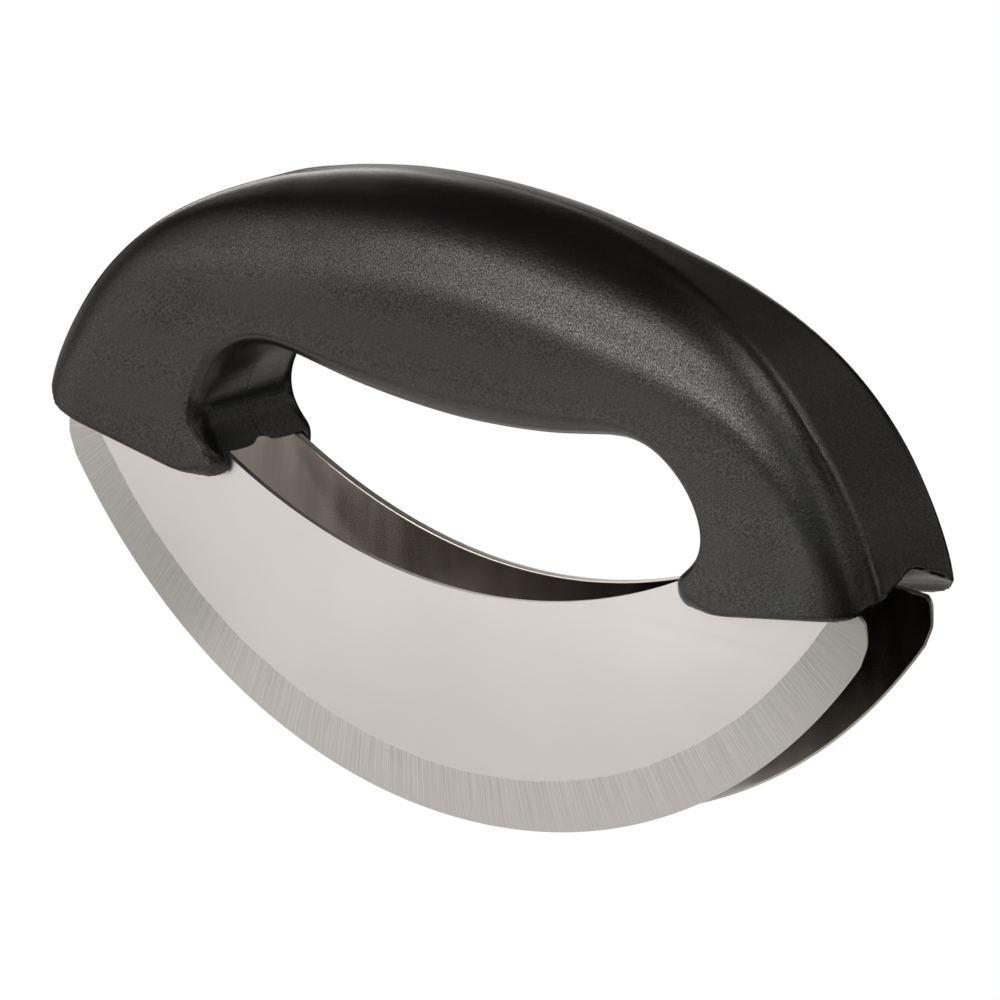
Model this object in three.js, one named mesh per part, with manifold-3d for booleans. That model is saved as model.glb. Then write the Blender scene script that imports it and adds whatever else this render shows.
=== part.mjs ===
// Double-blade herb chopper: an arched two-shell plastic handle over a pair of
// parallel curved steel blades, used with a rocking motion.
// Millimetres. X runs along the blades, -Y is the front, +Z is up.
// The origin is midway between the blades, level with the lowest point of the cutting edges.

import * as THREE from 'three';
import { mergeVertices } from 'three/addons/utils/BufferGeometryUtils.js';
import Module from 'manifold-3d';

// ---- driving dimensions -------------------------------------------------

const GAP = 0.3;                 // running gap between neighbouring pieces

// blades
const BLADE_T = 1.2;             // sheet thickness
const BLADE_PITCH = 16.2;        // centre to centre across the two blades
const EDGE_R = 105.2;            // radius of the cutting edge
const EDGE_RISE = 1.35;          // extra rise of the cutting edge at x = 85
const EDGE_END_X = 83.6;         // where the cutting edge turns into the end corner
const BACK_Z = 37.8;             // height of the concave back edge at mid-length
const BACK_R = 102.2;            // radius of the concave back edge
const BACK_DROP = 1.08;          // flattening of the back edge at x = 60
const GRIND_W = 8.4;             // width of the ground bevel, square to the edge
const EDGE_T = 0.16;             // thickness left at the cutting edge

// handle outline, right half, seen from the front
const CROWN = [
  [0, 102.17], [9.47, 101.87], [19.25, 101.03], [29.53, 99.31], [36.07, 97.81],
  [43.02, 95.95], [50.17, 93.38], [57.57, 89.98], [64.87, 85.63], [71.68, 80.18],
  [77.86, 73.58], [83.12, 65.93], [86.15, 60.32], [87.75, 56.4], [88.5, 53.9],
  [88.45, 52.6], [87.2, 51.4], [83.2, 50.4],
];
const HAND_HOLE = [
  [0, 65.4], [10, 65.85], [20, 66.95], [28, 68.4], [33.5, 69.42], [38.4, 69.78],
  [43.0, 68.98], [47.3, 66.7], [50.6, 63.5], [52.5, 60.0], [53.0, 57.2],
  [52.6, 55.0], [51.5, 53.1], [50.0, 51.4], [48.65, 50.0], [48.2, 49.2],
  [48.35, 48.2], [49.0, 47.0], [50.2, 46.1], [52.0, 45.6], [54.4, 45.55],
];
const SIDE_HALF_W = 12.25;       // half width of the handle at z = 48
const SIDE_DRAFT = 0.022;        // widening of each side per mm of height
const SIDE_BASE_Z = 48;
const CROWN_DEPTH = [17.9, 9.0];    // depth of the crown rounding, mid and foot
const CROWN_WIDTH = [12.3, 4.7];    // width of the crown rounding, mid and foot
const HOLE_DEPTH = [7.0, 2.8, 3.2]; // depth of the hand hole rim rounding: top, end wall, toe
const HOLE_WIDTH = [7.0, 4.6, 3.5]; // width of the hand hole rim rounding: top, end wall, toe
const CROWN_BEND = 1.6;             // below 2 the crown rounding leaves the side more quickly
const WALL = 2.8;                // shell wall
const CAVITY_END = 0.66;         // how far the grip cavity runs towards each foot

// underside groove between the blades at each foot
const FOOT_SLOPE = Math.atan2(50.75 - 45.85, 83.2 - 54.4);
const FOOT_X = 54.4;
const FOOT_Z = 45.85;
const GROOVE_H = 6.0;            // depth of the groove at mid-width
const GROOVE_SLOPE = 0.46;       // fall of its roof to each side
const GROOVE_EDGE = [9.6, 0.75]; // where the roof turns down to the outer edge, and how fast

// tangs, spacers and rivets
const RIVETS = [[63.4, 61.9], [70.9, 62.4]];
const RIVET_R = 2.0;
const RIVET_HEAD_R = 3.0;
const RIVET_HEAD_T = 0.9;
const SPACER = [[60.0, 57.4], [74.4, 59.8], [74.4, 64.6], [73.0, 66.2], [61.6, 66.2], [60.2, 64.6]];

// locating posts inside the grip
const POSTS = [[-38, 83], [0, 84.5], [38, 83]];
const POST_R = 2.6;
const SOCKET_R = 4.6;
const POST_DEPTH = 5;            // how far a post reaches past the parting plane

// ---- solids from geometry ----------------------------------------------

const wasm = await Module();
wasm.setup();

function solid(geometry) {
  const g = geometry.clone();
  for (const name of Object.keys(g.attributes)) {
    if (name !== 'position') g.deleteAttribute(name);
  }
  const m = mergeVertices(g, 1e-4);
  const vertProperties = new Float32Array(m.attributes.position.array);
  const triVerts = new Uint32Array(m.index.array);
  // signed volume tells which way the faces point
  let v6 = 0;
  const p = vertProperties;
  for (let i = 0; i < triVerts.length; i += 3) {
    const a = triVerts[i] * 3, b = triVerts[i + 1] * 3, c = triVerts[i + 2] * 3;
    v6 += p[a] * (p[b + 1] * p[c + 2] - p[b + 2] * p[c + 1])
        - p[a + 1] * (p[b] * p[c + 2] - p[b + 2] * p[c])
        + p[a + 2] * (p[b] * p[c + 1] - p[b + 1] * p[c]);
  }
  if (v6 < 0) {
    for (let i = 0; i < triVerts.length; i += 3) {
      const t = triVerts[i + 1];
      triVerts[i + 1] = triVerts[i + 2];
      triVerts[i + 2] = t;
    }
  }
  return new wasm.Manifold(new wasm.Mesh({ numProp: 3, vertProperties, triVerts }));
}

function geometryOf(body) {
  const mesh = body.getMesh();
  const n = mesh.vertProperties.length / mesh.numProp;
  const xyz = new Float32Array(n * 3);
  for (let i = 0; i < n; i++) {
    for (let k = 0; k < 3; k++) xyz[i * 3 + k] = mesh.vertProperties[i * mesh.numProp + k];
  }
  const g = new THREE.BufferGeometry();
  g.setAttribute('position', new THREE.BufferAttribute(xyz, 3));
  g.setIndex(new THREE.BufferAttribute(new Uint32Array(mesh.triVerts), 1));
  const flat = g.toNonIndexed();
  flat.computeVertexNormals();
  return flat;
}

// a closed outline in (x, z), extruded from y0 to y1
function plate(outline, y0, y1) {
  const shape = new THREE.Shape(outline.map(([x, z]) => new THREE.Vector2(x, z)));
  const g = new THREE.ExtrudeGeometry(shape, { depth: y1 - y0, bevelEnabled: false, steps: 1 });
  g.rotateX(Math.PI / 2);        // (x, z, depth) to (x, -depth, z)
  g.translate(0, y1, 0);
  return solid(g);
}

// a round bar along Y
function bar(x, z, r, y0, y1, sides = 24) {
  const g = new THREE.CylinderGeometry(r, r, y1 - y0, sides, 1);
  g.translate(x, (y0 + y1) / 2, z);
  return solid(g);
}

function block(x0, x1, y0, y1, z0, z1) {
  const g = new THREE.BoxGeometry(x1 - x0, y1 - y0, z1 - z0);
  g.translate((x0 + x1) / 2, (y0 + y1) / 2, (z0 + z1) / 2);
  return solid(g);
}

const mirrorX = (points) => points.map(([x, z]) => [-x, z]).reverse();
const mix = (a, b, t) => a + (b - a) * t;
const smooth = (t) => { const c = Math.min(1, Math.max(0, t)); return c * c * (3 - 2 * c); };

// ---- blades -------------------------------------------------------------

const edgeZ = (x) => EDGE_R - Math.sqrt(EDGE_R * EDGE_R - x * x) + EDGE_RISE * (x / 85) ** 4;
const backZ = (x) => BACK_Z + BACK_R - Math.sqrt(BACK_R * BACK_R - x * x) - BACK_DROP * (x / 60) ** 4;

// end corner, the tang that rises into the handle foot, and the way back to the concave back edge
const END_AND_TANG = [
  [84.55, 44.9], [84.95, 46.1], [84.95, 47.0], [84.8, 48.5], [84.5, 49.8], [83.5, 50.8],
  [76.2, 50.8], [75.3, 51.1], [74.9, 51.9], [74.8, 64.6], [74.2, 66.2], [72.6, 67.0],
  [62.0, 67.0], [60.0, 65.8], [59.0, 63.6], [58.2, 57.4], [57.2, 54.9], [55.4, 53.2], [53.0, 51.85],
];

function bladeOutline() {
  const right = [];
  const nEdge = 22, nBack = 11;
  for (let i = 0; i <= nEdge; i++) {
    const x = EDGE_END_X * Math.sin((Math.PI / 2) * (i / nEdge) * 0.92) / Math.sin((Math.PI / 2) * 0.92);
    right.push([x, edgeZ(x)]);
  }
  right.push(...END_AND_TANG);
  for (let i = 0; i < nBack; i++) {
    const x = 51.0 * (1 - i / nBack);
    right.push([x, backZ(x)]);
  }
  const top = [[0, backZ(0)]];
  const left = right.slice(1).map(([x, z]) => [-x, z]).reverse();
  return [...right, ...top, ...left];
}

// the wedge that the grinding wheel takes off one face along the cutting edge;
// side = -1 grinds the face that looks towards -Y
function grindWedge(yFace, side) {
  const n = 56;
  const g = new THREE.BoxGeometry(1, 1, 1, n, 1, 1);
  const p = g.attributes.position;
  const slope = (BLADE_T - EDGE_T) / GRIND_W;
  for (let i = 0; i < p.count; i++) {
    const x = p.getX(i) * 2 * 96;
    const outer = p.getY(i) > 0;             // away from the steel
    const upper = p.getZ(i) > 0;
    const xc = Math.max(-EDGE_END_X, Math.min(EDGE_END_X, x));
    const h = 1e-3;
    const s = (edgeZ(xc + h) - edgeZ(xc - h)) / (2 * h);
    const len = Math.hypot(1, s);
    const along = (x - xc) * len;            // straight run past the end of the edge
    const ex = xc + along / len, ez = edgeZ(xc) + (along * s) / len;
    const off = upper ? GRIND_W : -2.0;
    const depth = outer ? 1.0 : (upper ? 0 : -slope * (GRIND_W + 2.0));
    p.setXYZ(i, ex - (s / len) * off, yFace + side * depth, ez + off / len);
  }
  return solid(g);
}

function blade(side) {
  const yc = (side * BLADE_PITCH) / 2;
  let b = plate(bladeOutline(), yc - BLADE_T / 2, yc + BLADE_T / 2);
  b = b.subtract(grindWedge(yc + (side * BLADE_T) / 2, side));
  for (const [x, z] of RIVETS) {
    for (const sx of [-1, 1]) b = b.subtract(bar(sx * x, z, RIVET_R + GAP, yc - 3, yc + 3));
  }
  return b;
}

// ---- handle -------------------------------------------------------------

function fullCurve(points) {
  const all = [...mirrorX(points.slice(1)), ...points];
  const c = new THREE.CatmullRomCurve3(all.map(([x, z]) => new THREE.Vector3(x, 0, z)), false, 'centripetal');
  c.arcLengthDivisions = 1200;
  return c;
}
const crownCurve = fullCurve(CROWN);
const holeCurve = fullCurve(HAND_HOLE);

// point and unit normal (away from the hand hole) on a curve, f = -1 left foot, 0 middle, 1 right foot
function at(curve, f) {
  const u = Math.min(1, Math.max(0, 0.5 + f / 2));
  const p = curve.getPointAt(u);
  const d = 2e-3;
  const a = curve.getPointAt(Math.max(0, u - d)), b = curve.getPointAt(Math.min(1, u + d));
  const t = new THREE.Vector3().subVectors(b, a).normalize();
  return { x: p.x, z: p.z, nx: -t.z, nz: t.x };
}

const halfWidth = (z) => SIDE_HALF_W + SIDE_DRAFT * (z - SIDE_BASE_Z);

// half of the cross-section at station f, from the crown to the hand hole, as (x, |y|, z)
const N_CROWN = 8, N_HOLE = 5;
const FOOT_RUN = [Math.cos(FOOT_SLOPE), Math.sin(FOOT_SLOPE)];
function section(f, inset) {
  const o = at(crownCurve, f), i = at(holeCurve, f);
  const a = Math.abs(f);
  const kn = smooth((Math.abs(o.x) - 34) / 56), ky = smooth((Math.abs(o.x) - 20) / 64);
  const ox = o.x - o.nx * inset, oz = o.z - o.nz * inset;
  const ix = i.x + i.nx * inset, iz = i.z + i.nz * inset;
  const rn = Math.max(0.6, mix(CROWN_DEPTH[0], CROWN_DEPTH[1], kn) - inset);
  const ry = Math.max(0.6, mix(CROWN_WIDTH[0], CROWN_WIDTH[1], ky) - inset);
  const rim = (r) => Math.max(0.6, (a < 0.62
    ? mix(r[0], r[1], smooth(a / 0.62))
    : mix(r[1], r[2], smooth((a - 0.62) / 0.26))) - inset);
  const rh = rim(HOLE_DEPTH), rw = rim(HOLE_WIDTH);
  // at the feet the edges are rounded along the foot line, so that the underside stays flat
  const sx = Math.sign(f) || 1;
  const onFoot = o.nz < FOOT_RUN[1];
  const ocx = onFoot ? sx * FOOT_RUN[0] : o.nx, ocz = onFoot ? FOOT_RUN[1] : o.nz;
  const w = smooth((a - 0.6) / 0.1);
  const l = Math.hypot(mix(i.nx, sx * FOOT_RUN[0], w), mix(i.nz, FOOT_RUN[1], w));
  const icx = mix(i.nx, sx * FOOT_RUN[0], w) / l, icz = mix(i.nz, FOOT_RUN[1], w) / l;
  const half = [];
  const push = (x, z, back) => half.push([x, Math.max(0, halfWidth(z) - inset - back), z]);
  half.push([ox, 0, oz]);
  for (let j = 0; j <= N_CROWN; j++) {
    const t = (Math.PI / 2) * (j / N_CROWN);
    const d = rn * (1 - Math.max(0, Math.cos(t)) ** (2 / CROWN_BEND));
    push(ox - ocx * d, oz - ocz * d, ry * (1 - Math.sin(t)));
  }
  for (let j = N_HOLE; j >= 0; j--) {
    const t = (Math.PI / 2) * (j / N_HOLE);
    const d = rh * (1 - Math.cos(t));
    push(ix + icx * d, iz + icz * d, rw * (1 - Math.sin(t)));
  }
  half.push([ix, 0, iz]);
  return half;
}

// stations along the arch: even over the grip, closer at the feet
function stations(end) {
  const half = [];
  for (let i = 1; i <= 24; i++) half.push(0.034 * i);
  half.push(0.84, 0.86, 0.88, 0.9, 0.92, 0.94, 0.955, 0.97, 0.985, 1.0);
  const used = half.filter((f) => f < end - 0.015).concat([end]);
  return [...used.map((f) => -f).reverse(), 0, ...used];
}

// a closed bar bent into the arch: a cylinder's rings laid on the cross-sections
function arch(end, inset) {
  const fs = stations(end);
  const rings = fs.map((f) => {
    const half = section(f, inset);
    const back = half.slice(1, -1).map(([x, y, z]) => [x, y, z]).reverse();
    return [...half.map(([x, y, z]) => [x, -y, z]), ...back];
  });
  const around = rings[0].length;
  const g = new THREE.CylinderGeometry(1, 1, 1, around, fs.length - 1, false);
  for (const name of ['normal', 'uv']) g.deleteAttribute(name);
  const m = mergeVertices(g, 1e-5);
  const p = m.attributes.position;
  for (let v = 0; v < p.count; v++) {
    const x = p.getX(v), y = p.getY(v), z = p.getZ(v);
    const row = Math.round((y + 0.5) * (fs.length - 1));
    if (Math.hypot(x, z) < 0.5) {
      const ring = rings[row];
      const c = ring.reduce((s, q) => [s[0] + q[0], s[1] + q[1], s[2] + q[2]], [0, 0, 0]);
      p.setXYZ(v, c[0] / around, 0, c[2] / around);
    } else {
      const k = (Math.round((Math.atan2(x, z) / (2 * Math.PI)) * around) + around) % around;
      p.setXYZ(v, ...rings[row][k]);
    }
  }
  return solid(m);
}

// prism under a foot whose roof is an inverted V with a rounded ridge
function groove(sx) {
  const ridge = 1.6;
  const roof = (y) => GROOVE_H - GROOVE_SLOPE * (y < ridge ? ridge / 2 + (y * y) / (2 * ridge) : y)
    - GROOVE_EDGE[1] * Math.max(0, y - GROOVE_EDGE[0]) ** 1.5;
  const s = [0.4, 0.8, 1.2, 1.6, 9.6, 10.1, 10.6, 11.2, 11.9, 12.8, 16];
  const outline = [
    ...s.map((y) => [-y, roof(y)]).reverse(), [0, roof(0)], ...s.map((y) => [y, roof(y)]),
    [16, -14], [-16, -14],
  ];
  const shape = new THREE.Shape(outline.map(([y, z]) => new THREE.Vector2(y, z)));
  const g = new THREE.ExtrudeGeometry(shape, { depth: 70, bevelEnabled: false, steps: 1 });
  g.rotateX(Math.PI / 2);          // (y, z, depth) to (y, -depth, z)
  g.rotateZ(Math.PI / 2);          // to (depth, y, z)
  g.translate(-22, 0, 0);
  g.rotateY(-FOOT_SLOPE);
  g.translate(FOOT_X, 0, FOOT_Z);
  if (sx < 0) g.scale(-1, 1, 1);
  return solid(g);
}

// outline grown outwards by a constant gap
function grown(outline, d) {
  const n = outline.length;
  let area = 0;
  for (let i = 0; i < n; i++) {
    const [x0, z0] = outline[i], [x1, z1] = outline[(i + 1) % n];
    area += x0 * z1 - x1 * z0;
  }
  const w = area > 0 ? 1 : -1;
  return outline.map(([x, z], i) => {
    const [xa, za] = outline[(i + n - 1) % n], [xb, zb] = outline[(i + 1) % n];
    const l1 = Math.hypot(x - xa, z - za), l2 = Math.hypot(xb - x, zb - z);
    const n1 = [(z - za) / l1, -(x - xa) / l1], n2 = [(zb - z) / l2, -(xb - x) / l2];
    const bx = n1[0] + n2[0], bz = n1[1] + n2[1];
    const q = (2 * d * w) / (bx * bx + bz * bz);
    return [x + bx * q, z + bz * q];
  });
}

function footCuts() {
  const cuts = [];
  const inner = BLADE_PITCH / 2 - BLADE_T / 2 - GAP;
  const outer = BLADE_PITCH / 2 + BLADE_T / 2 + GAP;
  // where the blade passes through a foot, with the gap all round
  const foot = [[40, 20], [EDGE_END_X - 6, 30], [EDGE_END_X, edgeZ(EDGE_END_X)], ...END_AND_TANG, [51, backZ(51)], [46, backZ(46)], [40, backZ(40)]];
  for (const sx of [-1, 1]) {
    const place = (o) => (sx > 0 ? o : mirrorX(o));
    cuts.push(groove(sx));
    for (const sy of [-1, 1]) {
      cuts.push(plate(place(grown(foot, GAP)), sy > 0 ? inner : -outer, sy > 0 ? outer : -inner));
      for (const [x, z] of RIVETS) {
        cuts.push(bar(sx * x, z, RIVET_HEAD_R + GAP, sy > 0 ? inner : -outer - RIVET_HEAD_T - GAP, sy > 0 ? outer + RIVET_HEAD_T + GAP : -inner));
      }
    }
    cuts.push(plate(place(grown(SPACER, GAP)), -inner - 0.1, inner + 0.1));
  }
  return cuts;
}

function shells() {
  let body = arch(1.0, 0).subtract(arch(CAVITY_END, WALL));
  for (const cut of footCuts()) body = body.subtract(cut);
  let front = body.intersect(block(-150, 150, -60, -GAP / 2, -20, 160));
  let rear = body.intersect(block(-150, 150, GAP / 2, 60, -20, 160));
  for (const [x, z] of POSTS) {
    const wall = halfWidth(z) - WALL + 0.5;
    front = front.add(bar(x, z, SOCKET_R, -wall, -GAP / 2, 20));
    front = front.subtract(bar(x, z, POST_R + GAP, -POST_DEPTH - 1, 1, 16));
    rear = rear.add(bar(x, z, SOCKET_R, GAP / 2, wall, 20)).add(bar(x, z, POST_R, -POST_DEPTH, wall, 16));
  }
  return { front, rear };
}

// ---- spacers and rivets --------------------------------------------------

function spacer(sx) {
  const half = BLADE_PITCH / 2 - BLADE_T / 2 - GAP;
  let s = plate(sx > 0 ? SPACER : mirrorX(SPACER), -half, half);
  for (const [x, z] of RIVETS) s = s.subtract(bar(sx * x, z, RIVET_R + GAP, -half - 1, half + 1));
  return s;
}

function rivet(x, z) {
  const face = BLADE_PITCH / 2 + BLADE_T / 2 + GAP / 2;
  const profile = [
    [0, -face - RIVET_HEAD_T], [RIVET_HEAD_R * 0.72, -face - RIVET_HEAD_T], [RIVET_HEAD_R, -face - RIVET_HEAD_T * 0.45],
    [RIVET_HEAD_R, -face], [RIVET_R, -face], [RIVET_R, face], [RIVET_HEAD_R, face],
    [RIVET_HEAD_R, face + RIVET_HEAD_T * 0.45], [RIVET_HEAD_R * 0.72, face + RIVET_HEAD_T], [0, face + RIVET_HEAD_T],
  ].map(([r, y]) => new THREE.Vector2(r, y));
  const g = new THREE.LatheGeometry(profile, 20);
  g.translate(x, 0, z);
  return solid(g);
}

// ---- assembly -------------------------------------------------------------

const plastic = { color: 0x2b2a29, roughness: 0.62, metalness: 0.0 };
const inner = { color: 0x3a3a3a, roughness: 0.7, metalness: 0.0 };
const steel = { color: 0xc9c6c1, roughness: 0.28, metalness: 1.0 };
const rivetSteel = { color: 0xb5b3b0, roughness: 0.35, metalness: 1.0 };

function piece(name, body, look) {
  const mesh = new THREE.Mesh(geometryOf(body), new THREE.MeshStandardMaterial(look));
  mesh.name = name;
  return mesh;
}

const chopper = new THREE.Group();
chopper.name = 'herb_chopper';

const handle = new THREE.Group();
const { front, rear } = shells();
handle.add(piece('handle_front_shell', front, plastic));
handle.add(piece('handle_rear_shell', rear, plastic));

const bladePack = new THREE.Group();
bladePack.add(piece('front_blade', blade(-1), steel));
bladePack.add(piece('rear_blade', blade(1), steel));
bladePack.add(piece('left_blade_spacer', spacer(-1), inner));
bladePack.add(piece('right_blade_spacer', spacer(1), inner));
const [[xi, zi], [xo, zo]] = RIVETS;
bladePack.add(piece('left_inner_rivet', rivet(-xi, zi), rivetSteel));
bladePack.add(piece('left_outer_rivet', rivet(-xo, zo), rivetSteel));
bladePack.add(piece('right_inner_rivet', rivet(xi, zi), rivetSteel));
bladePack.add(piece('right_outer_rivet', rivet(xo, zo), rivetSteel));

chopper.add(handle, bladePack);

export default chopper;
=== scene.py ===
import math

import bmesh
import bpy
import numpy as np
from mathutils import Matrix, Vector


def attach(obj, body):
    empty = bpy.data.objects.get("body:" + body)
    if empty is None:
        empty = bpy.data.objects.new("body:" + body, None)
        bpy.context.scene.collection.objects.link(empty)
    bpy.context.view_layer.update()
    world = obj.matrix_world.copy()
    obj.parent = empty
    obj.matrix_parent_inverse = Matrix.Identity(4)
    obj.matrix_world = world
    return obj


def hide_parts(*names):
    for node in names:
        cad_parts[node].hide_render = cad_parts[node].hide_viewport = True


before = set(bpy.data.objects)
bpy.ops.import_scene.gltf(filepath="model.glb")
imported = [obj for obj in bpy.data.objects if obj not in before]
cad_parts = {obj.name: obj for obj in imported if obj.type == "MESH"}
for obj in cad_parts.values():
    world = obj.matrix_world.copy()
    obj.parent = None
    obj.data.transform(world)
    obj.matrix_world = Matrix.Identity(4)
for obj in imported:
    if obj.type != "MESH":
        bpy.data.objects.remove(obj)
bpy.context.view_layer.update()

MM = 0.001

# ---- dimensions, in millimetres, the same as the solid model's ----------------

GAP = 0.3
BLADE_T = 1.2
BLADE_PITCH = 16.2
EDGE_R = 105.2
EDGE_RISE = 1.35
EDGE_END_X = 83.6
BACK_Z = 37.8
BACK_R = 102.2
BACK_DROP = 1.08
GRIND_W = 8.4
EDGE_T = 0.16
BACK_BREAK, EDGE_BREAK = 0.28, (0.34, 0.06)

# crown of the handle, right half, run on straight past the foot
CROWN = [
    (0, 102.14), (9.47, 101.84), (19.25, 101.0), (29.53, 99.28), (36.05, 97.78),
    (43.0, 95.92), (50.15, 93.35), (57.55, 89.95), (64.85, 85.6), (71.65, 80.15),
    (77.82, 73.55), (83.08, 65.9), (86.1, 60.3), (87.65, 56.4), (88.3, 53.9),
    (88.6, 51.6), (88.9, 48.5), (89.1, 44.0), (89.1, 38.0),
]
# hand hole, right half, its flared toe run on straight past the tip
HOLE = [
    (0, 65.4), (10, 65.85), (20, 66.95), (28, 68.4), (33.5, 69.42), (38.4, 69.78),
    (43.0, 68.98), (47.3, 66.7), (50.6, 63.5), (52.5, 60.0), (53.0, 57.2),
    (52.6, 55.0), (51.5, 53.1), (50.0, 51.4), (48.65, 50.0), (45.0, 46.3), (39.0, 40.3),
]
FOOT_SLOPE = math.atan2(50.75 - 45.85, 83.2 - 54.4)
FOOT_X, FOOT_Z = 54.4, 45.85
FOOT_RUN = (math.cos(FOOT_SLOPE), math.sin(FOOT_SLOPE))
SIDE_HALF_W, SIDE_DRAFT, SIDE_BASE_Z = 12.23, 0.022, 48.0
CROWN_DEPTH, CROWN_WIDTH, CROWN_BEND = (17.9, 9.0), (12.3, 4.7), 1.6
HOLE_DEPTH, HOLE_WIDTH = (7.0, 2.8, 1.7), (7.0, 4.6, 2.2)
NOSE_X, NOSE_R = 48.0, 3.8
TOE_DEPTH, TOE_WIDTH = (0.5, 4.8, 0.6), (0.5, 3.7, 0.9)   # rounding of the lower outer edge: grip, toe, foot
GROOVE_H, GROOVE_SLOPE, GROOVE_RIDGE, GROOVE_EDGE = 6.0, 0.46, 1.6, (9.6, 0.75)
LIP = 0.4
SEAM, SEAM_W = 0.002, 0.07

END_AND_TANG = [
    (84.55, 44.9), (84.95, 46.1), (84.95, 47.0), (84.8, 48.5), (84.5, 49.8), (83.5, 50.8),
    (76.2, 50.8), (75.3, 51.1), (74.9, 51.9), (74.8, 64.6), (74.2, 66.2), (72.6, 67.0),
    (62.0, 67.0), (60.0, 65.8), (59.0, 63.6), (58.2, 57.4), (57.2, 54.9), (55.4, 53.2), (53.0, 51.85),
]
SPACER = [(60.0, 57.4), (74.4, 59.8), (74.4, 64.6), (73.0, 66.2), (61.6, 66.2), (60.2, 64.6)]
RIVETS = [(63.4, 61.9), (70.9, 62.4)]
RIVET_HEAD_R, RIVET_HEAD_T = 3.0, 0.9


def smooth(t):
    t = np.clip(t, 0.0, 1.0)
    return t * t * (3 - 2 * t)


def mix(a, b, t):
    return a + (b - a) * t


def catmull(points, per=24):
    """Centripetal Catmull-Rom curve through the points, as an array of points."""
    p = np.array(points, float)
    p = np.vstack([2 * p[0] - p[1], p, 2 * p[-1] - p[-2]])
    out = []
    for i in range(1, len(p) - 2):
        x0, x1, x2, x3 = p[i - 1], p[i], p[i + 1], p[i + 2]
        d0, d1, d2 = (math.sqrt(np.linalg.norm(b - a)) for a, b in ((x0, x1), (x1, x2), (x2, x3)))
        t1 = ((x1 - x0) / d0 - (x2 - x0) / (d0 + d1) + (x2 - x1) / d1) * d1
        t2 = ((x2 - x1) / d1 - (x3 - x1) / (d1 + d2) + (x3 - x2) / d2) * d1
        for k in range(per):
            t = k / per
            out.append(x1 + t1 * t + (-3 * x1 + 3 * x2 - 2 * t1 - t2) * t * t + (2 * x1 - 2 * x2 + t1 + t2) * t ** 3)
    out.append(p[-2])
    return np.array(out)


def half_curve(points):
    """The right half of a mirrored curve, with a stretch of the left half so that it is smooth at x = 0."""
    left = [(-x, z) for x, z in points[3:0:-1]]
    c = catmull(left + list(points))
    return c[c[:, 0] > -12.0]


def distance(px, pz, line):
    """Distance from each point to a polyline, signed positive on the right-hand side of its run, and the nearest place along it."""
    a, b = line[:-1], line[1:]
    d = b - a
    dd = (d ** 2).sum(1)
    best = np.full(px.shape, np.inf)
    sign = np.ones(px.shape)
    where = np.zeros(px.shape)
    for i in range(len(a)):
        rx, rz = px - a[i, 0], pz - a[i, 1]
        t = np.clip((rx * d[i, 0] + rz * d[i, 1]) / dd[i], 0, 1)
        q = (rx - t * d[i, 0]) ** 2 + (rz - t * d[i, 1]) ** 2
        m = q < best
        best = np.where(m, q, best)
        sign = np.where(m, d[i, 1] * rx - d[i, 0] * rz, sign)
        where = np.where(m, i + t, where)
    return np.sqrt(best) * np.where(sign >= 0, 1, -1), where


def polygon_distance(px, pz, outline):
    """Signed distance to a closed outline, negative inside."""
    p = np.array(outline, float)
    best = np.full(px.shape, np.inf)
    inside = np.zeros(px.shape, bool)
    for a, b in zip(p, np.roll(p, -1, 0)):
        d = b - a
        rx, rz = px - a[0], pz - a[1]
        t = np.clip((rx * d[0] + rz * d[1]) / max((d ** 2).sum(), 1e-12), 0, 1)
        best = np.minimum(best, (rx - t * d[0]) ** 2 + (rz - t * d[1]) ** 2)
        if abs(d[1]) > 1e-12:
            c = (a[1] > pz) != (b[1] > pz)
            inside ^= c & (px < a[0] + d[0] * (pz - a[1]) / d[1])
    return np.sqrt(best) * np.where(inside, -1, 1)


def corner(d, s, rd, rs, bend=2.0):
    """Outside distance of a body bounded by two faces at depths d and s, joined by a quarter round of radii rd and rs.
    A bend below 2 makes the round leave the side face more quickly."""
    u, v = 1 - d / rd, 1 - s / rs
    up, vp = np.maximum(u, 1e-9), np.maximum(v, 0)
    f = up ** bend + vp ** 2 - 1
    g = np.sqrt((bend * up ** (bend - 1) / rd) ** 2 + (2 * vp / rs) ** 2)
    return np.where(f > -0.75, f / np.maximum(g, 1e-3), -np.minimum(d, s))


def round_max(a, b, r):
    """Intersection of two bodies with the edge between them rounded to radius r."""
    return np.where((a > -r) & (b > -r), np.sqrt(np.maximum(a + r, 0) ** 2 + np.maximum(b + r, 0) ** 2) - r, np.maximum(a, b))


# ---- meshing -------------------------------------------------------------------

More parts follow.
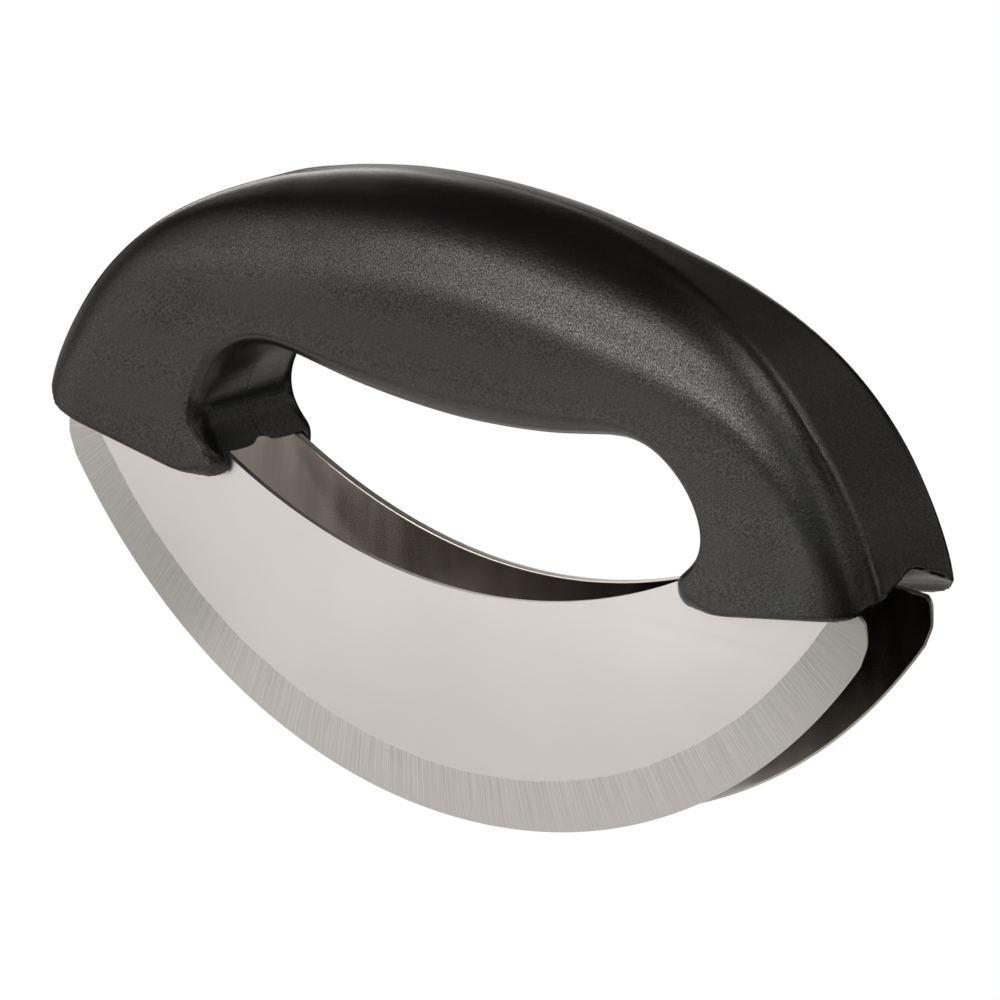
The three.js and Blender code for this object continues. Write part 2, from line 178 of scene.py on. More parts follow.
def surface_net(f, xs, ys, zs):
    """Closed quad mesh on the zero level of f, given on a grid; f is negative inside."""
    nx, ny, nz = f.shape
    inside = f < 0
    total = np.zeros((nx - 1, ny - 1, nz - 1, 3))
    count = np.zeros((nx - 1, ny - 1, nz - 1))
    edges = []
    grid = (xs, ys, zs)
    for axis in range(3):
        lo = [slice(None)] * 3
        hi = [slice(None)] * 3
        lo[axis], hi[axis] = slice(0, -1), slice(1, None)
        cross = inside[tuple(lo)] != inside[tuple(hi)]
        idx = np.argwhere(cross)
        f0 = f[tuple(lo)][cross]
        f1 = f[tuple(hi)][cross]
        t = f0 / (f0 - f1)
        pos = np.stack([grid[k][idx[:, k]] for k in range(3)], 1)
        step = grid[axis][idx[:, axis] + 1] - grid[axis][idx[:, axis]]
        pos[:, axis] += t * step
        o1, o2 = [k for k in range(3) if k != axis]
        for a in (-1, 0):
            for b in (-1, 0):
                c = idx.copy()
                c[:, o1] += a
                c[:, o2] += b
                np.add.at(total, (c[:, 0], c[:, 1], c[:, 2]), pos)
                np.add.at(count, (c[:, 0], c[:, 1], c[:, 2]), 1)
        edges.append((axis, o1, o2, idx, f0 < 0))
    used = count > 0
    number = np.full(count.shape, -1, np.int64)
    number[used] = np.arange(used.sum())
    verts = total[used] / count[used][:, None]
    quads = []
    for axis, o1, o2, idx, neg in edges:
        ring = []
        for a, b in ((-1, -1), (0, -1), (0, 0), (-1, 0)):
            c = idx.copy()
            c[:, o1] += a
            c[:, o2] += b
            ring.append(number[c[:, 0], c[:, 1], c[:, 2]])
        q = np.stack(ring, 1)
        flip = neg if axis != 1 else ~neg
        q[~flip] = q[~flip][:, ::-1]
        quads.append(q)
    return verts, np.vstack(quads)


def new_object(name, verts, faces, body="root"):
    """A mesh object from points in millimetres."""
    me = bpy.data.meshes.new(name)
    me.from_pydata([tuple(v) for v in np.asarray(verts, float) * MM], [], [tuple(int(i) for i in q) for q in faces])
    me.validate()
    me.update()
    ob = bpy.data.objects.new(name, me)
    bpy.context.scene.collection.objects.link(ob)
    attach(ob, body)
    return ob


# ---- handle shells ---------------------------------------------------------------

def foot_rise(x):
    """How far the grid is raised at x, so that its rows run along the underside of the feet."""
    u = np.maximum(np.abs(x) - 40.0, 0)
    return math.tan(FOOT_SLOPE) * np.where(u < 12, u * u / 24, u - 6)


def handle_field(xs, ys, zs):
    """Distance field of the rear half of the handle on a grid."""
    ax = np.abs(xs)
    half_x, back = np.unique(np.round(ax, 6), return_inverse=True)
    gx, gz = np.meshgrid(half_x, zs, indexing="ij")
    gz = gz + foot_rise(gx)
    crown, hole = half_curve(CROWN), half_curve(HOLE)
    dc, at_c = distance(gx, gz, crown)
    dh, at_h = distance(gx, gz, hole)
    dh = -dh                                          # the plastic is on the left of the hole's run
    near_x = np.abs(np.interp(at_c, np.arange(len(crown)), crown[:, 0]))
    rn, ry = mix(*CROWN_DEPTH, smooth((near_x - 34) / 56)), mix(*CROWN_WIDTH, smooth((near_x - 20) / 64))
    run = np.concatenate([[0], np.cumsum(np.hypot(*np.diff(hole, axis=0).T))])
    start = np.interp(0.0, hole[:, 0][:60], run[:60])
    along = np.interp(at_h, np.arange(len(hole)), run) - start
    wall = 57.0                                       # run from mid-length to the end wall
    a = smooth(along / wall)
    b = smooth((along - wall) / 14.0)
    rh = mix(mix(HOLE_DEPTH[0], HOLE_DEPTH[1], a), HOLE_DEPTH[2], b)
    rw = mix(mix(HOLE_WIDTH[0], HOLE_WIDTH[1], a), HOLE_WIDTH[2], b)
    # underside: foot line, rounded nose of the toe, and a line that passes below the grip
    db = -(gx - FOOT_X) * FOOT_RUN[1] + (gz - FOOT_Z) * FOOT_RUN[0]
    nose = round_max(NOSE_X - gx, -db - LIP * smooth((gx - 52.0) / 8.0), NOSE_R)
    below = ((gx - NOSE_X) * -0.3 - (gz - 49.4)) * 0.958
    under = np.minimum(nose, np.where(gx < NOSE_X + 6, below, np.inf))
    toe_in, toe_out = smooth((gx - 42.0) / 5.0), smooth((gx - 49.0) / 9.0)
    rd = mix(mix(TOE_DEPTH[0], TOE_DEPTH[1], toe_in), TOE_DEPTH[2], toe_out)
    rs = mix(mix(TOE_WIDTH[0], TOE_WIDTH[1], toe_in), TOE_WIDTH[2], toe_out)
    end_in = smooth((gx - 75.0) / 8.0)
    seam_in = 1 - smooth((gx - 56.0) / 10.0)          # the parting line fades out towards the feet
    tang = polygon_distance(gx, gz, [(40, 20), (77, 30), (83.6, 42.6)] + END_AND_TANG + [(51, 50.7), (40, 45.0)]) - GAP
    space = polygon_distance(gx, gz, SPACER) - GAP
    heads = np.minimum(*[np.hypot(gx - x, gz - z) for x, z in RIVETS]) - RIVET_HEAD_R - GAP
    w = SIDE_HALF_W + SIDE_DRAFT * (gz - SIDE_BASE_Z)
    inner = BLADE_PITCH / 2 - BLADE_T / 2 - GAP
    outer = BLADE_PITCH / 2 + BLADE_T / 2 + GAP
    field = np.empty((len(xs), len(ys), len(zs)), np.float64)
    for j, y in enumerate(ys):
        s = w - abs(y)
        f = np.maximum(corner(dc, s, rn, ry, CROWN_BEND), corner(dh, s, rh, rw))
        end_r = mix(0.35, mix(0.7, 1.1, smooth((abs(y) - 7.5) / 3.0)), end_in)
        f = round_max(f, corner(-under, s, rd, rs), end_r)
        ridge = abs(y) if abs(y) > GROOVE_RIDGE else GROOVE_RIDGE / 2 + y * y / (2 * GROOVE_RIDGE)
        roof = GROOVE_H - GROOVE_SLOPE * ridge - GROOVE_EDGE[1] * max(0.0, abs(y) - GROOVE_EDGE[0]) ** 1.5
        f = round_max(f, (roof - db) * 0.88, 0.5)
        if abs(y) < 7.4:
            f = round_max(f, (49.9 - 0.8 * np.maximum(0, gx - 51.0) - gz) * 0.75, 0.4)
        f = np.maximum(f, -np.maximum(tang, abs(y - BLADE_PITCH / 2) - (outer - inner) / 2))
        f = np.maximum(f, -np.maximum(space, abs(y) - inner - 0.1))
        f = np.maximum(f, -np.maximum(heads, np.maximum(inner - y, y - outer - RIVET_HEAD_T - GAP)))
        f = np.maximum(f + 0.8 * seam_in * max(0.0, SEAM_W - y), 300.0 * (SEAM - y))
        field[:, j, :] = f[back]
    return field


xs = np.arange(-164, 165) * 0.55
ys = np.concatenate([[-0.2, 0.0, 0.004, 0.014, 0.034, 0.07, 0.14, 0.25, 0.4, 0.65, 1.0, 1.4], np.arange(1.85, 8.9, 0.55), np.arange(8.9, 14.2, 0.4)])
zs = np.concatenate([np.arange(43.3, 52.0, 0.4), np.arange(52.0, 103.4, 0.55)])
shell_v, shell_q = surface_net(handle_field(xs, ys, zs), xs, ys, zs)
shell_v[:, 2] += foot_rise(shell_v[:, 0])

shells = []
for name, node, side in (("handle_front", "handle_front_shell", -1), ("handle_rear", "handle_rear_shell", 1)):
    v = shell_v * np.array([1, side, 1])
    q = shell_q if side > 0 else shell_q[:, ::-1]
    ob = new_object(name, v, q)
    ob.data.shade_smooth()
    ob.data.set_sharp_from_angle(angle=math.radians(38))
    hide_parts(node)
    shells.append(ob)


# ---- blades ------------------------------------------------------------------------

def edge_z(x):
    return EDGE_R - np.sqrt(EDGE_R ** 2 - x ** 2) + EDGE_RISE * (x / 85) ** 4


def back_z(x):
    return BACK_Z + BACK_R - np.sqrt(BACK_R ** 2 - x ** 2) - BACK_DROP * (x / 60) ** 4


def edge_slope(x):
    return x / np.sqrt(EDGE_R ** 2 - x ** 2) + EDGE_RISE * 4 * x ** 3 / 85 ** 4


def blade(name, node, side):
    rng = np.random.default_rng(11 + side)
    yc = side * BLADE_PITCH / 2
    y_out, y_in = yc + side * BLADE_T / 2, yc - side * BLADE_T / 2
    slope = (BLADE_T - EDGE_T) / GRIND_W
    n = 760
    # cutting edge and the upper line of the bevel, which wanders a little as a ground line does
    x = EDGE_END_X * np.linspace(-1, 1, n)
    z = edge_z(x)
    s = edge_slope(x)
    l = np.hypot(1, s)
    wander = np.convolve(rng.normal(size=n + 40), np.hanning(41) / 20.0, "valid") * 0.16 + rng.normal(size=n) * 0.05
    w = GRIND_W + wander
    low = np.stack([x, z], 1)
    high = np.stack([x - s / l * w, z + w / l], 1)
    # past the end of the edge the bevel runs straight to the shoulder
    m = 24
    end = catmull([(EDGE_END_X, edge_z(EDGE_END_X))] + END_AND_TANG[:6], 8)
    t0, n0 = np.array([1, s[-1]]) / l[-1], np.array([-s[-1], 1]) / l[-1]
    h0 = low[-1] + n0 * w[-1]
    reach = (END_AND_TANG[5][1] - h0[1]) / t0[1]
    stop = h0 + t0 * reach
    tail = np.vstack([end, stop])
    run = np.concatenate([[0], np.cumsum(np.hypot(*np.diff(tail, axis=0).T))])
    u = np.linspace(0, 1, m + 1)[1:]
    tail_low = np.stack([np.interp(u * run[-1], run, tail[:, k]) for k in (0, 1)], 1)
    tail_high = h0 + np.outer(u * reach, t0)
    tail_high[-1] = tail_low[-1] = stop
    flip = np.array([-1, 1])
    lows = np.vstack([tail_low[::-1] * flip, low, tail_low])
    highs = np.vstack([tail_high[::-1] * flip, high, tail_high])
    highs[:m + 1] = highs[-m - 1:][::-1] * flip

    def depth(p):
        """How far the ground face lies behind the flat face at a point."""
        xe = np.clip(p[:, 0], -EDGE_END_X, EDGE_END_X)
        for _ in range(12):
            se = edge_slope(xe)
            g = (p[:, 0] - xe) + (p[:, 1] - edge_z(xe)) * se
            xe = np.clip(xe + g / (1 + se * se) * 0.8, -EDGE_END_X, EDGE_END_X)
        se = edge_slope(xe)
        le = np.hypot(1, se)
        off = (-(p[:, 0] - xe) * se + (p[:, 1] - edge_z(xe))) / le
        return np.clip((GRIND_W - off) * slope, 0, BLADE_T - EDGE_T)

    # the rest of the outline: shoulder, tang and concave back edge
    rest = [tuple(p) for p in END_AND_TANG[6:]]
    xb = np.linspace(51.0, 0, 120)
    right = np.vstack([np.array(rest), np.stack([xb, back_z(xb)], 1)])
    top = np.vstack([right, right[:-1][::-1] * flip])
    n_low, n_top = len(lows), len(top)
    y_low = y_out - side * depth(lows)

    def inset(line, by):
        """The line moved into the steel, less and less towards its two ends."""
        d = np.gradient(line, axis=0)
        d /= np.maximum(np.hypot(d[:, 0], d[:, 1]), 1e-9)[:, None]
        fade = np.clip(np.minimum(np.arange(len(line)), np.arange(len(line))[::-1]) / 3.0, 0, 1)
        return line + np.stack([-d[:, 1], d[:, 0]], 1) * (by * fade)[:, None], fade

    # the inner edges are broken: a rounded back edge and a fine flat along the cutting edge
    top_a, fade = inset(top, BACK_BREAK)
    top_b, _ = inset(top, BACK_BREAK * 0.29)
    low_a, low_fade = inset(lows, EDGE_BREAK[0])
    verts = []
    verts += [(p[0], y, p[1]) for p, y in zip(lows, y_low)]               # ground edge line, outer side
    verts += [(p[0], y_out, p[1]) for p in highs]                         # upper line of the bevel
    verts += [(p[0], y_out, p[1]) for p in top]                           # outer face, upper outline
    verts += [(p[0], y_in + side * EDGE_BREAK[1] * k, p[1]) for p, k in zip(lows, low_fade)]   # inner side, cutting edge
    verts += [(p[0], y_in, p[1]) for p in low_a]                          # inner face, lower outline
    verts += [(p[0], y_in + side * BACK_BREAK * k, p[1]) for p, k in zip(top, fade)]           # inner side, back edge
    verts += [(p[0], y_in + side * BACK_BREAK * 0.29 * k, p[1]) for p, k in zip(top_b, fade)]
    verts += [(p[0], y_in, p[1]) for p in top_a]                          # inner face, upper outline
    A, B, C = 0, n_low, 2 * n_low
    D = C + n_top
    D0 = D + n_low
    E2 = D0 + n_low
    E1 = E2 + n_top
    E0 = E1 + n_top
    faces, mats = [], []

    def add(face, mat):
        faces.append(face if side < 0 else face[::-1])
        mats.append(mat)

    for i in range(n_low - 1):
        if i == 0:
            add((A + i + 1, B + i + 1, B + i), 1)
        elif i == n_low - 2:
            add((A + i, B + i + 1, B + i), 1)
        else:
            add((A + i, A + i + 1, B + i + 1, B + i), 1)
    add([B + i for i in range(n_low)] + [C + i for i in range(n_top)], 0)                        # flat outer face
    add([D0 + i for i in range(n_low)][::-1] + [E0 + i for i in range(n_top)][::-1], 2)          # inner face
    for i in range(n_low - 1):                                                                    # the narrow rim
        a = B if i == 0 else A + i
        b = B + n_low - 1 if i == n_low - 2 else A + i + 1
        add((D + i, D + i + 1, b, a), 3)
        add((D0 + i, D0 + i + 1, D + i + 1, D + i), 3)
    for i in range(n_top - 1):
        add((E2 + i, E2 + i + 1, C + i + 1, C + i), 3)
        add((E1 + i, E1 + i + 1, E2 + i + 1, E2 + i), 3)
        add((E0 + i, E0 + i + 1, E1 + i + 1, E1 + i), 3)
    add((D + n_low - 1, E2, C, B + n_low - 1), 3)
    add((E2 + n_top - 1, D, B, C + n_top - 1), 3)
    ob = new_object(name, verts, faces)
    me = ob.data
    for i, p in enumerate(me.polygons):
        p.material_index = mats[i]
    # run along the edge and height above it, in millimetres, for the grinding lines
    uv = me.uv_layers.new(name="grind")
    arc = np.concatenate([[0], np.cumsum(np.hypot(*np.diff(lows, axis=0).T))])
    arc -= arc[-1] / 2
    coord = np.zeros((len(verts), 2))
    coord[A:B, 0] = coord[B:C, 0] = arc
    coord[B:C, 1] = 1.0
    for loop in me.loops:
        uv.data[loop.index].uv = coord[loop.vertex_index]
    me.update()
    # loose points are dropped and the points that meet at the ends are joined
    bm = bmesh.new()
    bm.from_mesh(me)
    bmesh.ops.delete(bm, geom=[v for v in bm.verts if not v.link_faces], context="VERTS")
    bmesh.ops.remove_doubles(bm, verts=bm.verts, dist=1e-6)
    bm.to_mesh(me)
    bm.free()
    me.set_sharp_from_angle(angle=math.radians(2.0))
    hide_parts(node)
    return ob


blades = [blade("blade_front", "front_blade", -1), blade("blade_rear", "rear_blade", 1)]


# ---- materials ---------------------------------------------------------------------

def material(name):
    m = bpy.data.materials.new(name)
    m.use_nodes = True
    nt = m.node_tree
    bsdf = next(n for n in nt.nodes if n.type == "BSDF_PRINCIPLED")
    return m, nt, bsdf


def node(nt, kind, inputs=None, **props):
    n = nt.nodes.new(kind)
    for k, v in props.items():
        setattr(n, k, v)
    for k, v in (inputs or {}).items():
        n.inputs[k].default_value = v
    return n


def ramp(nt, source, stops):
    n = nt.nodes.new("ShaderNodeValToRGB")
    el = n.color_ramp.elements
    while len(el) < len(stops):
        el.new(0.5)
    for e, (pos, col) in zip(el, stops):
        e.position = pos
        e.color = (*col, 1) if len(col) == 3 else col
    nt.links.new(source, n.inputs["Fac"])
    return n.outputs["Color"]


def plastic(name, base, rough, grain):
    """Moulded plastic with a fine spark-eroded grain."""
    m, nt, b = material(name)
    tc = node(nt, "ShaderNodeTexCoord")
    fine = node(nt, "ShaderNodeTexNoise", {"Scale": 2800.0, "Detail": 2.0, "Roughness": 0.6})
    speck = node(nt, "ShaderNodeTexNoise", {"Scale": 4300.0, "Detail": 1.0, "Roughness": 0.5})
    broad = node(nt, "ShaderNodeTexNoise", {"Scale": 60.0, "Detail": 4.0, "Roughness": 0.55})
    for n in (fine, speck, broad):
        nt.links.new(tc.outputs["Object"], n.inputs["Vector"])
    lo, hi = [tuple(c * k for c in base) for k in (0.8, 1.2)]
    nt.links.new(ramp(nt, fine.outputs["Fac"], [(0.3, lo), (0.7, hi)]), b.inputs["Base Color"])
    r = ramp(nt, broad.outputs["Fac"], [(0.25, (rough - 0.02,) * 3), (0.75, (rough + 0.02,) * 3)])
    nt.links.new(r, b.inputs["Roughness"])
    level = ramp(nt, speck.outputs["Fac"], [(0.3, (0.25,) * 3), (0.7, (0.94,) * 3)])
    nt.links.new(level, b.inputs["Specular IOR Level"])
    bump = node(nt, "ShaderNodeBump", {"Strength": grain, "Distance": 0.00012})
    nt.links.new(fine.outputs["Fac"], bump.inputs["Height"])
    nt.links.new(bump.outputs["Normal"], b.inputs["Normal"])
    b.inputs["IOR"].default_value = 1.54
    return m


def steel(name, base, rough, stretch=(6.0, 900.0, 900.0), depth=0.05):
    """Satin rolled steel with fine lines along the blade."""
    m, nt, b = material(name)
    tc = node(nt, "ShaderNodeTexCoord")
    mp = node(nt, "ShaderNodeMapping")
    mp.inputs["Scale"].default_value = stretch
    nt.links.new(tc.outputs["Object"], mp.inputs["Vector"])
    lines = node(nt, "ShaderNodeTexNoise", {"Scale": 1.0, "Detail": 5.0, "Roughness": 0.6})
    nt.links.new(mp.outputs["Vector"], lines.inputs["Vector"])
    cloud = node(nt, "ShaderNodeTexNoise", {"Scale": 45.0, "Detail": 3.0, "Roughness": 0.5})
    nt.links.new(tc.outputs["Object"], cloud.inputs["Vector"])
    lo, hi = [tuple(c * k for c in base) for k in (0.975, 1.02)]
    nt.links.new(ramp(nt, cloud.outputs["Fac"], [(0.3, lo), (0.7, hi)]), b.inputs["Base Color"])
    nt.links.new(ramp(nt, lines.outputs["Fac"], [(0.3, (rough - 0.03,) * 3), (0.7, (rough + 0.04,) * 3)]), b.inputs["Roughness"])
    bump = node(nt, "ShaderNodeBump", {"Strength": depth, "Distance": 0.00005})
    nt.links.new(lines.outputs["Fac"], bump.inputs["Height"])
    nt.links.new(bump.outputs["Normal"], b.inputs["Normal"])
    b.inputs["Metallic"].default_value = 1.0
    return m


def polished_with_painted_reflection(name, dark, light, rough):
    """Rolled inner face, its colour painted with reflections: light and dark slanting streaks, and a tone that is
    darker across the middle of the blade and near full towards the ends.
    """
    m, nt, b = material(name)
    tc = node(nt, "ShaderNodeTexCoord")
    turn = node(nt, "ShaderNodeMapping")
    turn.inputs["Rotation"].default_value = (0.0, math.radians(24), 0.0)
    turn.inputs["Scale"].default_value = (150.0, 1.0, 34.0)
    nt.links.new(tc.outputs["Object"], turn.inputs["Vector"])
    streak = node(nt, "ShaderNodeTexNoise", {"Scale": 1.0, "Detail": 3.0, "Roughness": 0.5, "Distortion": 0.4})
    nt.links.new(turn.outputs["Vector"], streak.inputs["Vector"])
    split = node(nt, "ShaderNodeSeparateXYZ")
    nt.links.new(tc.outputs["Object"], split.inputs["Vector"])
    along = node(nt, "ShaderNodeMapRange", {"From Min": -0.085, "From Max": 0.085})
    nt.links.new(split.outputs["X"], along.inputs["Value"])
    # painted reflection: the colour is multiplied to about half across the middle of the blade and left near full at
    # the two ends, standing in for the reflections the inner faces show; the same on both blades
    painted_reflection_along_x = ramp(nt, along.outputs["Result"], [(0.0, (1.0, 1.0, 1.0)), (0.22, (1.0, 1.0, 1.0)), (0.42, (0.50, 0.50, 0.51)), (0.75, (0.56, 0.57, 0.58)), (1.0, (0.95, 0.96, 0.98))])
    tone = node(nt, "ShaderNodeMix", {0: 1.0}, data_type="RGBA", blend_type="MULTIPLY")
    # painted reflection: the streak noise paints light and dark slanting streaks into the colour in place of
    # reflections; the same noise also varies the roughness
    nt.links.new(ramp(nt, streak.outputs["Fac"], [(0.32, dark), (0.68, light)]), tone.inputs[6])
    nt.links.new(painted_reflection_along_x, tone.inputs[7])
    nt.links.new(tone.outputs[2], b.inputs["Base Color"])
    nt.links.new(ramp(nt, streak.outputs["Fac"], [(0.3, (rough - 0.03,) * 3), (0.7, (rough + 0.05,) * 3)]), b.inputs["Roughness"])
    fine = node(nt, "ShaderNodeMapping")
    fine.inputs["Scale"].default_value = (10.0, 260.0, 260.0)
    nt.links.new(tc.outputs["Object"], fine.inputs["Vector"])
    lines = node(nt, "ShaderNodeTexNoise", {"Scale": 1.0, "Detail": 4.0, "Roughness": 0.6})
    nt.links.new(fine.outputs["Vector"], lines.inputs["Vector"])
    bump = node(nt, "ShaderNodeBump", {"Strength": 0.03, "Distance": 0.00005})
    nt.links.new(lines.outputs["Fac"], bump.inputs["Height"])
    nt.links.new(bump.outputs["Normal"], b.inputs["Normal"])
    b.inputs["Metallic"].default_value = 1.0
    return m


def ground(name, base, rough):
    """Ground bevel: fine scratches square to the cutting edge."""
    m, nt, b = material(name)
    uv = node(nt, "ShaderNodeUVMap", uv_map="grind")
    mp = node(nt, "ShaderNodeMapping")
    mp.inputs["Scale"].default_value = (5.0, 0.5, 1.0)
    nt.links.new(uv.outputs["UV"], mp.inputs["Vector"])
    lines = node(nt, "ShaderNodeTexNoise", {"Scale": 1.0, "Detail": 6.0, "Roughness": 0.65}, noise_dimensions="2D")
    nt.links.new(mp.outputs["Vector"], lines.inputs["Vector"])
    lo, hi = [tuple(c * k for c in base) for k in (0.74, 1.10)]
    nt.links.new(ramp(nt, lines.outputs["Fac"], [(0.3, lo), (0.7, hi)]), b.inputs["Base Color"])
    nt.links.new(ramp(nt, lines.outputs["Fac"], [(0.3, (rough + 0.06,) * 3), (0.7, (rough - 0.04,) * 3)]), b.inputs["Roughness"])
    bump = node(nt, "ShaderNodeBump", {"Strength": 0.25, "Distance": 0.00005})
    nt.links.new(lines.outputs["Fac"], bump.inputs["Height"])
    nt.links.new(bump.outputs["Normal"], b.inputs["Normal"])
    b.inputs["Metallic"].default_value = 1.0
    return m


handle_plastic = plastic("handle_plastic", (0.0065, 0.0062, 0.0058), 0.25, 0.3)
spacer_plastic = plastic("spacer_plastic", (0.055, 0.055, 0.055), 0.5, 0.2)
face_steel = steel("face_steel", (0.80, 0.785, 0.775), 0.36)
bevel_steel = ground("bevel_steel", (0.79, 0.773, 0.757), 0.36)
inner_steel_painted_reflection = polished_with_painted_reflection("inner_steel_painted_reflection", (0.66, 0.63, 0.60), (0.92, 0.875, 0.83), 0.09)
rim_steel = steel("rim_steel", (0.66, 0.62, 0.58), 0.36)
rivet_steel = steel("rivet_steel", (0.66, 0.66, 0.66), 0.33, (300.0, 300.0, 300.0))

for ob in shells:
    ob.data.materials.append(handle_plastic)
for ob in blades:
    for m in (face_steel, bevel_steel, inner_steel_painted_reflection, rim_steel):
        ob.data.materials.append(m)
for name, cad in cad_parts.items():
    m = spacer_plastic if "spacer" in name else rivet_steel if "rivet" in name else None
    if m is not None:
        cad.data.materials.clear()
        cad.data.materials.append(m)


# ---- camera, floor and light -----------------------------------------------------------

AZ, EL, ROLL = math.radians(42.25), math.radians(16.17), math.radians(0.72)
TARGET = Vector((2.0, 0.0, 50.9)) * MM
DIST = 1882.0 * MM
back = Vector((math.sin(AZ) * math.cos(EL), -math.cos(AZ) * math.cos(EL), math.sin(EL)))
right = (-back).cross(Vector((0, 0, 1))).normalized()
up = right.cross(-back)
r2 = right * math.cos(ROLL) + up * math.sin(ROLL)
u2 = -right * math.sin(ROLL) + up * math.cos(ROLL)
cam = bpy.data.objects.new("camera", bpy.data.cameras.new("camera"))
bpy.context.scene.collection.objects.link(cam)
cam.data.sensor_fit = "AUTO"
cam.data.sensor_width = 36.0
cam.data.lens = 431.2
rot = Matrix((r2, u2, back)).transposed().to_4x4()
cam.matrix_world = Matrix.Translation(TARGET + back * DIST) @ rot
cam.data.clip_start, cam.data.clip_end = 0.05, 50.0
cam.data.dof.use_dof = False
bpy.context.scene.camera = cam


def sheet(name, verts, faces, strength, seen_by_camera):
    """A plain sheet that gives off an even white light."""
    me = bpy.data.meshes.new(name)
    me.from_pydata([tuple(v) for v in verts], [], faces)
    ob = bpy.data.objects.new(name, me)
    bpy.context.scene.collection.objects.link(ob)
    m, nt, b = material(name)
    b.inputs["Base Color"].default_value = (0, 0, 0, 1)
    b.inputs["Roughness"].default_value = 0.9
    b.inputs["Specular IOR Level"].default_value = 0.0
    b.inputs["Emission Color"].default_value = (1, 1, 1, 1) if seen_by_camera else (1.0, 0.967, 0.934, 1)
    b.inputs["Emission Strength"].default_value = strength
    me.materials.append(m)
    ob.visible_camera = seen_by_camera
    ob.visible_diffuse = ob.visible_glossy = not seen_by_camera
    ob.visible_transmission = ob.visible_volume_scatter = ob.visible_shadow = False
    return ob


# the white table and the white surround behind it
n = 24
t = np.linspace(-3.0, 3.0, n + 1)
floor = sheet("floor", [(x, y, -0.0004) for x in t for y in t],
              [(i * (n + 1) + j, (i + 1) * (n + 1) + j, (i + 1) * (n + 1) + j + 1, i * (n + 1) + j + 1) for i in range(n) for j in range(n)],
              1.0, True)
n = 48
ring = [(6.0 * math.cos(2 * math.pi * i / n), 6.0 * math.sin(2 * math.pi * i / n)) for i in range(n)]
surround = sheet("surround", [(x, y, z) for z in (-0.001, 6.0) for x, y in ring],
                 [(i, (i + 1) % n, n + (i + 1) % n, n + i) for i in range(n)] + [tuple(range(n, 2 * n))], 1.0, True)

# Soft boxes and white cards around the tool: (low, high, from, to, radiance), angles in degrees
# with 0 at the front and 90 at the right; those on the table go by radius in metres.
WALL_CARDS = [
    (0, 8, -156, -132, 0.88), (0, 8, -108, -84, 0.35), (0, 8, -72, -60, 0.8),
    (0, 8, -60, -48, 1.17), (0, 8, -48, -36, 1.4), (0, 8, -36, -24, 7.29),
    (0, 8, -24, -12, 1.47), (0, 8, 0, 12, 1.22), (0, 8, 36, 60, 0.7),
    (0, 8, 132, 156, 0.5), (8, 16, -156, -132, 0.55), (8, 16, -132, -108, 2.74),
    (8, 16, -108, -84, 0.11), (8, 16, -72, -60, 0.36), (8, 16, -60, -48, 0.54),
    (8, 16, -48, -36, 1.68), (8, 16, -36, -24, 1.45), (8, 16, -24, -12, 0.95),
    (8, 16, 0, 12, 1.22), (8, 16, 12, 36, 0.38), (8, 16, 84, 108, 1.42),
    (8, 16, 108, 132, 0.17), (8, 16, 132, 156, 0.21), (8, 16, 156, 180, 0.45),
    (16, 24, -156, -132, 0.66), (16, 24, -132, -108, 2.74), (16, 24, -108, -84, 0.07),
    (16, 24, -72, -60, 0.37), (16, 24, -60, -48, 0.62), (16, 24, -48, -36, 2.77),
    (16, 24, -36, -24, 5.91), (16, 24, -24, -12, 0.3), (16, 24, -12, 0, 0.95),
    (16, 24, 0, 12, 1.02), (16, 24, 12, 36, 0.67), (16, 24, 36, 60, 0.48),
    (16, 24, 84, 108, 1.09), (16, 24, 132, 156, 0.42), (16, 24, 156, 180, 0.05),
    (24, 34, -156, -132, 0.08), (24, 34, -132, -108, 0.66), (24, 34, -108, -84, 0.7),
    (24, 34, -36, -24, 1.17), (24, 34, -12, 0, 1.16), (24, 34, 36, 60, 0.42),
    (24, 34, 60, 84, 0.49), (24, 34, 84, 108, 0.38), (24, 34, 108, 132, 0.67),
    (24, 34, 132, 156, 0.21), (34, 50, -180, -156, 0.12), (34, 50, -132, -108, 0.06),
    (34, 50, -12, 12, 2.61), (34, 50, 36, 60, 0.53), (34, 50, 84, 108, 0.68),
    (34, 50, 108, 132, 1.13), (34, 50, 132, 156, 0.32), (34, 50, 156, 180, 0.22),
    (50, 70, -36, -12, 0.05), (50, 70, -12, 12, 2.36), (50, 70, 12, 36, 0.29),
    (50, 70, 36, 60, 0.1), (50, 70, 84, 108, 2.56), (50, 70, 108, 132, 0.33),
    (50, 70, 132, 156, 1.78), (50, 70, 156, 180, 0.6),
]
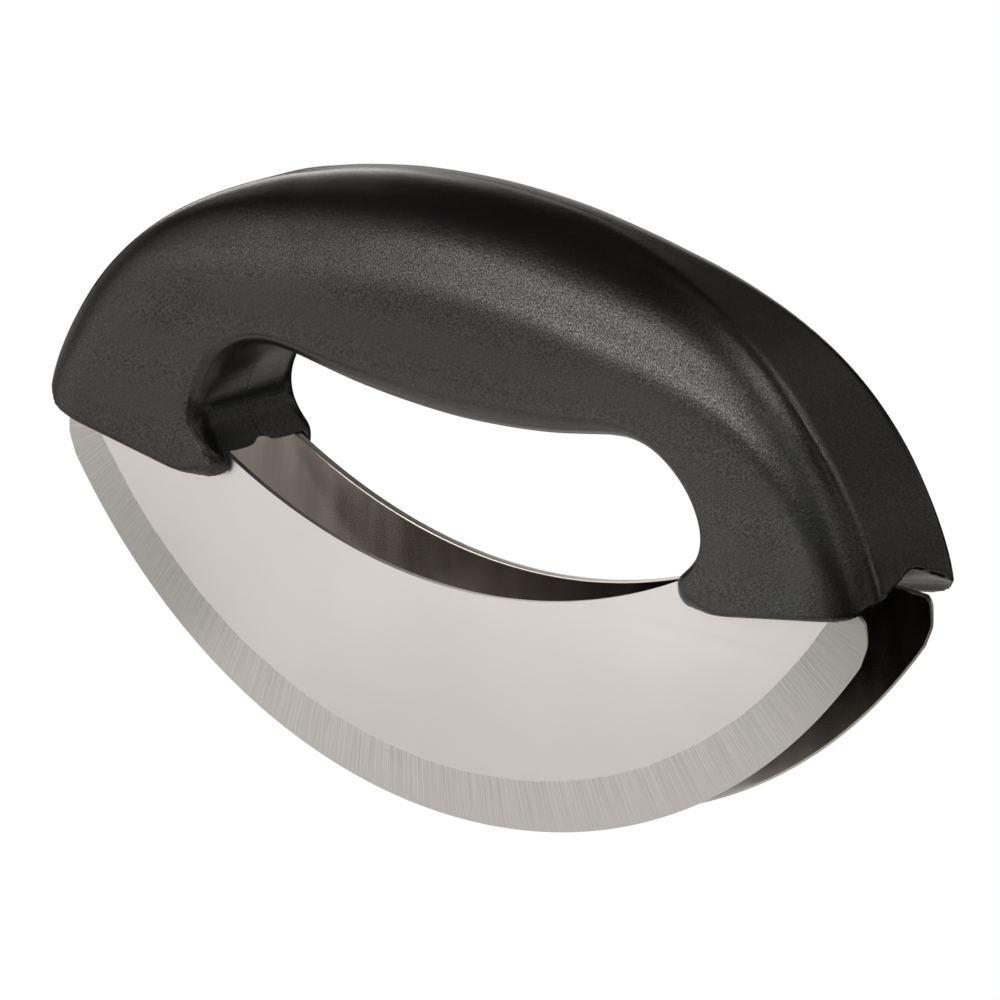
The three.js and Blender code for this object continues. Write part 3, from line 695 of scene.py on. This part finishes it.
TABLE_CARDS = [
    (0.1, 0.22, -132, -108, 0.23), (0.1, 0.22, -84, -72, 0.75), (0.1, 0.22, -72, -60, 0.12),
    (0.1, 0.22, -60, -48, 0.87), (0.1, 0.22, -48, -36, 0.81), (0.1, 0.22, -36, -24, 0.96),
    (0.1, 0.22, -24, -12, 1.48), (0.1, 0.22, -12, 0, 0.83), (0.22, 0.5, -132, -108, 0.51),
    (0.22, 0.5, -108, -84, 0.2), (0.22, 0.5, -84, -72, 0.51), (0.22, 0.5, -72, -60, 0.8),
    (0.22, 0.5, -60, -48, 0.89), (0.22, 0.5, -48, -36, 0.57), (0.22, 0.5, -36, -24, 0.95),
    (0.22, 0.5, 12, 36, 0.06), (0.22, 0.5, 36, 60, 0.56), (0.22, 0.5, 60, 84, 0.33),
    (0.22, 0.5, 84, 108, 0.27), (0.22, 0.5, 108, 132, 0.52), (0.22, 0.5, 156, 180, 0.27),
    (0.5, 1.6, -108, -84, 0.45), (0.5, 1.6, -84, -72, 0.07), (0.5, 1.6, -72, -60, 0.98),
    (0.5, 1.6, -60, -48, 0.55), (0.5, 1.6, -48, -36, 1.29), (0.5, 1.6, -36, -24, 0.64),
    (0.5, 1.6, 12, 36, 0.66), (0.5, 1.6, 84, 108, 0.43), (0.5, 1.6, 108, 132, 0.49),
    (0.5, 1.6, 132, 156, 0.17),
]
TABLE_CENTRE = 0.62
TOP_CARD = 0.19


def toward(az, el, r):
    a, e = math.radians(az), math.radians(el)
    return (r * math.sin(a) * math.cos(e), -r * math.cos(a) * math.cos(e), 0.06 + r * math.sin(e))


def on_table(az, r):
    a = math.radians(az)
    return (r * math.sin(a), -r * math.cos(a), -0.0006)


for i, (low, high, a0, a1, radiance) in enumerate(WALL_CARDS):
    sheet("wall_card_%d" % i, [toward(a0, low, 1.6), toward(a1, low, 1.6), toward(a1, high, 1.6), toward(a0, high, 1.6)],
          [(0, 1, 2, 3)], radiance, False)
for i, (r0, r1, a0, a1, radiance) in enumerate(TABLE_CARDS):
    sheet("table_card_%d" % i, [on_table(a0, r0), on_table(a1, r0), on_table(a1, r1), on_table(a0, r1)],
          [(0, 1, 2, 3)], radiance, False)
sheet("table_centre", [on_table(a, 0.10) for a in range(-180, 180, 24)], [tuple(range(15))], TABLE_CENTRE, False)
if TOP_CARD > 0:
    sheet("top_card", [toward(a, 70, 1.6) for a in range(-180, 180, 24)], [tuple(range(15))], TOP_CARD, False)

world = bpy.data.worlds.new("studio")
bpy.context.scene.world = world
world.use_nodes = True
bg = next(n for n in world.node_tree.nodes if n.type == "BACKGROUND")
bg.inputs["Color"].default_value = (1, 1, 1, 1)
bg.inputs["Strength"].default_value = 0.01

bpy.context.scene.view_settings.view_transform = "Standard"
bpy.context.scene.view_settings.look = "None"
bpy.context.scene.view_settings.exposure = 0.0
bpy.context.scene.view_settings.gamma = 1.0
